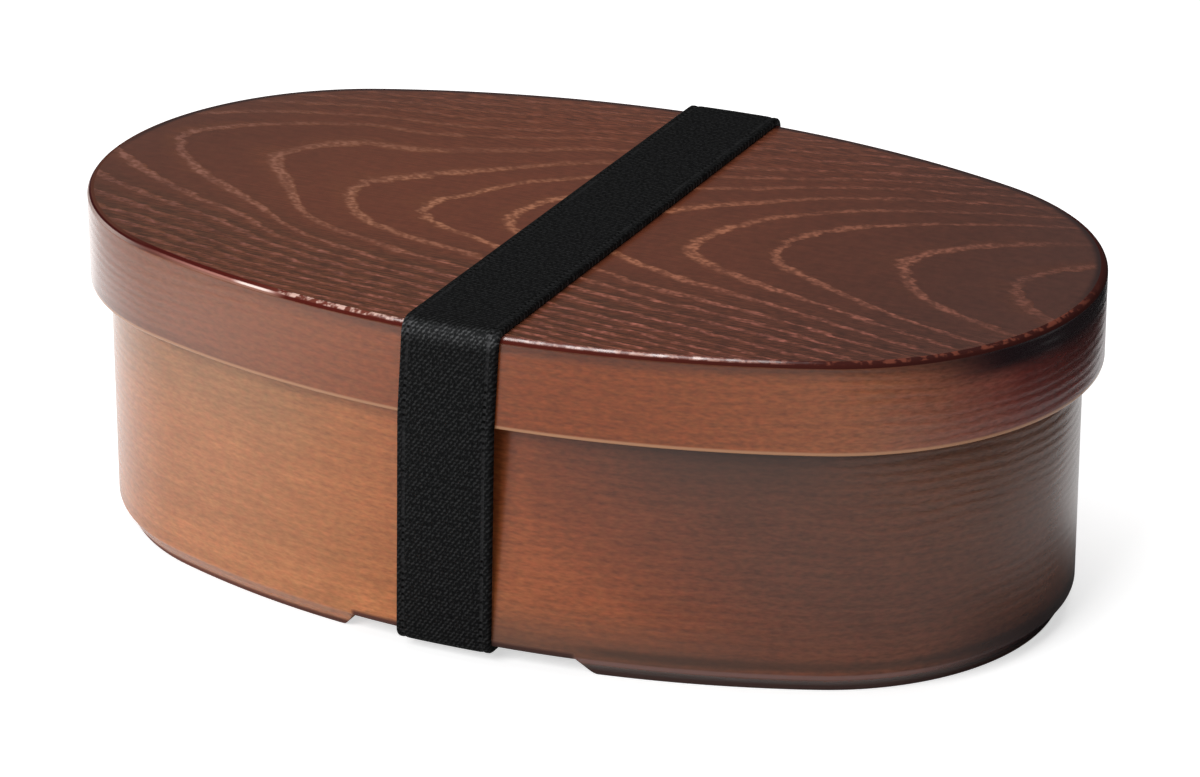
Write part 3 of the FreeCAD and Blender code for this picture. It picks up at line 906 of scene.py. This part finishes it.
eyelet_row = window(tree, edge, 0.95, 1.25, 1.45, 1.75)
eyelets = ramp(tree, reckon(tree, "SINE", product(tree, weave["Y"], math.tau / eyelet_pitch)), 0.1, 0.8)
eyelets = product(tree, eyelet_row, eyelets, ramp(tree, drift, 0.35, 0.6))
lit = product(tree, ramp(tree, yarn, 0.25, 0.85), ramp(tree, fuzz, 0.36, 0.62))
black = blend(tree, lit, yarn_dark, yarn_lit)
black = blend(tree, product(tree, eyelet_row, 0.6), black, selvedge_tone)
black = blend(tree, eyelets, black, eyelet_tone)
_, xyz = place_in_mm(tree)
# Lighter over the lid's edge, partly the weave stretched open and partly painted highlight.
black = lighten(tree, black, window(tree, xyz["Z"], 57.5, 60, 60.8, 61.5), 2.2)
# Painted shade: darker where the band lies on the lid's top.
black = lighten(tree, black, ramp(tree, xyz["Z"], 60.5, 61.2), -0.35)
set_socket(tree, shader.inputs["Base Color"], black)
shader.inputs["Roughness"].default_value = 0.65
shader.inputs["Specular IOR Level"].default_value = 0.04
height = reckon(tree, "MULTIPLY_ADD", eyelets, -1.2, yarn)
height = reckon(tree, "MULTIPLY_ADD", fuzz, 0.4, height)
emboss(tree, shader, height, weave_depth)
band.data.materials.append(black_elastic)
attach(band, "band")
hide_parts("elastic_band")

# The stitching: three rows of black polyester thread that hold the band's lapped ends together on the back.
# Each stitch is drawn down into the weave at its ends, so it is a short thick arc of twisted thread.
thread_radius = 0.2 * mm
thread_sides = 10
stitch_length = 2 * mm
straight_share = 0.6
end_steps = [(0.12, 0.15, 0.85), (0.08, 0.3, 0.6)]
stitch_pitch = 2.6 * mm
stitch_rows = 3
stitches_in_row = 5
row_gap = 4.5 * mm
end_facing = 0.9


def sew(place):
    """One stitch of thread, lying across the band. Each end takes steps of (reach, sink, share of width)."""
    bpy.ops.object.select_all(action="DESELECT")
    bpy.ops.mesh.primitive_cylinder_add(
        vertices=thread_sides, radius=thread_radius, depth=stitch_length * straight_share,
        location=place, rotation=(0, math.pi / 2, 0))
    stitch = bpy.context.object
    bpy.ops.object.transform_apply(location=False, rotation=True, scale=True)
    bpy.ops.object.mode_set(mode="EDIT")
    bpy.ops.mesh.select_mode(type="FACE")
    for side in (1, -1):
        bpy.ops.mesh.select_all(action="DESELECT")
        bpy.ops.object.mode_set(mode="OBJECT")
        for face in stitch.data.polygons:
            face.select = face.normal.x * side > end_facing
        bpy.ops.object.mode_set(mode="EDIT")
        for reach, sink, share in end_steps:
            move = (side * reach * stitch_length, -sink * thread_radius, 0)
            bpy.ops.mesh.extrude_region_move(TRANSFORM_OT_translate={"value": move})
            bpy.ops.transform.resize(value=(1, share, share))
    return settle(stitch)


stitches = []
lap_middle = lap_bottom + lap_length / 2
for row in range(stitch_rows):
    z = lap_middle + (row - (stitch_rows - 1) / 2) * row_gap
    for n in range(stitches_in_row):
        x = band_shift + band_skew * half_width + band_lean * (z - lid_high.z)
        x += (n - (stitches_in_row - 1) / 2) * stitch_pitch
        y = lap_face(z) - half_width + math.sqrt(long_side_radius**2 - x**2) - side_centre
        stitches.append(sew((x, y + thread_radius / 2, z)))
stitching = stitches[0]
stitching.name = "lap_stitches"
join_to(stitching, stitches[1:])

# The thread's twist runs slanting round each stitch, in radians for each millimetre along it and up.
twist_along = 18
twist_up = 16
twist_depth = 0.04 * mm
thread_dark = (0.008, 0.008, 0.008, 1)
thread_lit = (0.03, 0.03, 0.031, 1)
twisted_thread, tree, shader = new_finish("twisted_thread")
_, xyz = place_in_mm(tree)
lay = reckon(tree, "ADD", product(tree, xyz["X"], twist_along), product(tree, xyz["Z"], twist_up))
twist = wave(tree, lay)
set_socket(tree, shader.inputs["Base Color"], blend(tree, twist, thread_dark, thread_lit))
shader.inputs["Roughness"].default_value = 0.5
emboss(tree, shader, twist, twist_depth)
stitching.data.materials.append(twisted_thread)
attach(stitching, "band")
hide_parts("band_stitching")

# The studio: a pale floor that fades to white, one large soft lamp at the front left, one overhead and a dim
# surround. Only reflections see the floor's glow at the left and behind, and two black cards at the right.
# The camera stands where the photograph's did.
floor_size = 8
floor_white = (0.8, 0.8, 0.8, 1)
reflected_shade_grey = (0.15, 0.15, 0.15, 1)
bpy.ops.object.select_all(action="DESELECT")
bpy.ops.mesh.primitive_plane_add(size=floor_size, location=(0, 0, 0))
floor = bpy.context.object
floor.name = "floor"
white_floor, tree, shader = new_finish("white_floor")
shader.inputs["Roughness"].default_value = 0.9
path = tree.nodes.new("ShaderNodeLightPath").outputs
place, xyz = place_in_mm(tree)
mirrored = reckon(tree, "ADD", path["Is Glossy Ray"], path["Is Transmission Ray"])
mirrored = reckon(tree, "MINIMUM", mirrored, 1)
# Painted shadow in reflections only: the floor turns grey beside the box's right end.
reflected_shade_beside_box = product(tree, window(tree, xyz["X"], 60, 85, 92, 122), window(tree, xyz["Y"], -40, 0, 15, 45))
paper = blend(tree, product(tree, mirrored, reflected_shade_beside_box), floor_white, reflected_shade_grey)
set_socket(tree, shader.inputs["Base Color"], paper)
glow_range = {"Value": xyz["X"], "From Min": -20, "From Max": -170, "To Max": 0.97}
glow_left = add_node(tree, "MapRange", glow_range).outputs[0]
glow_left = product(tree, glow_left, factor(tree, ramp(tree, xyz["X"], -180, -240), -0.48))
glow_behind = product(tree, ramp(tree, xyz["Y"], 30, 55), ramp(tree, xyz["X"], 125, 110))
glow = product(tree, mirrored, reckon(tree, "MULTIPLY_ADD", glow_behind, 0.45, glow_left))
far_off = add_node(tree, "VectorMath", {0: place}, operation="LENGTH").outputs["Value"]
white = reckon(tree, "MULTIPLY_ADD", ramp(tree, far_off, 500, 1800), 0.4, 0.6)
shine = reckon(tree, "MULTIPLY_ADD", path["Is Camera Ray"], white, glow)
set_socket(tree, shader.inputs["Emission Strength"], shine)
shader.inputs["Emission Color"].default_value = (1, 1, 1, 1)
floor.data.materials.append(white_floor)

black_card, tree, shader = new_finish("black_card")
shader.inputs["Base Color"].default_value = (0.01, 0.01, 0.01, 1)
shader.inputs["Roughness"].default_value = 0.9


def lay_card(name, corner, turn, width, length):
    """A black card on the floor, which only the lacquer's reflections see."""
    middle = Vector((width / 2, length / 2, 0))
    middle.rotate(Euler((0, 0, turn)))
    bpy.ops.object.select_all(action="DESELECT")
    bpy.ops.mesh.primitive_plane_add(size=1, location=Vector(corner) + middle, rotation=(0, 0, turn))
    card = bpy.context.object
    card.name = name
    card.scale = (width, length, 1)
    card.data.materials.append(black_card)
    card.visible_camera = False
    card.visible_diffuse = False
    card.visible_shadow = False


lay_card("card_right", (0.172, -0.30, 0.0005), 0, 0.5, 0.4)
lay_card("card_behind", (0.165, 0.039, 0.0010), math.radians(39), 0.5, 0.5)


def add_lamp(name, place, aim, width, height, power):
    """A soft rectangular lamp, turned towards what it lights."""
    bpy.ops.object.select_all(action="DESELECT")
    bpy.ops.object.light_add(type="AREA", location=place)
    lamp = bpy.context.object
    lamp.name = name
    lamp.rotation_euler = (aim - place).to_track_quat("-Z", "Y").to_euler()
    lamp.data.shape = "RECTANGLE"
    lamp.data.size = width
    lamp.data.size_y = height
    lamp.data.energy = power


box_middle = Vector((0, 0, 0.03))
add_lamp("front_softbox", Vector((-0.25, -1.05, 0.8)), box_middle, 0.8, 0.6, 13)
add_lamp("overhead_softbox", Vector((-0.12, 0.15, 1.0)), box_middle, 1.1, 0.6, 6.5)

surround = bpy.data.worlds.new("surround")
surround.use_nodes = True
surround.node_tree.nodes["Background"].inputs["Color"].default_value = (0.12, 0.12, 0.12, 1)
bpy.context.scene.world = surround

target = Vector((0.00836, -0.01352, 0.0352))
camera_azimuth = math.radians(24.398)
camera_height = math.radians(23.08)
camera_distance = 0.85294
back = Vector((math.sin(camera_azimuth) * math.cos(camera_height),
               -math.cos(camera_azimuth) * math.cos(camera_height), math.sin(camera_height)))
bpy.ops.object.camera_add(location=target + back * camera_distance)
camera = bpy.context.object
camera.rotation_euler = back.to_track_quat("Z", "Y").to_euler()
camera.data.lens = 152.24
camera.data.sensor_width = 36
bpy.context.scene.camera = camera
bpy.context.scene.view_settings.view_transform = "Standard"
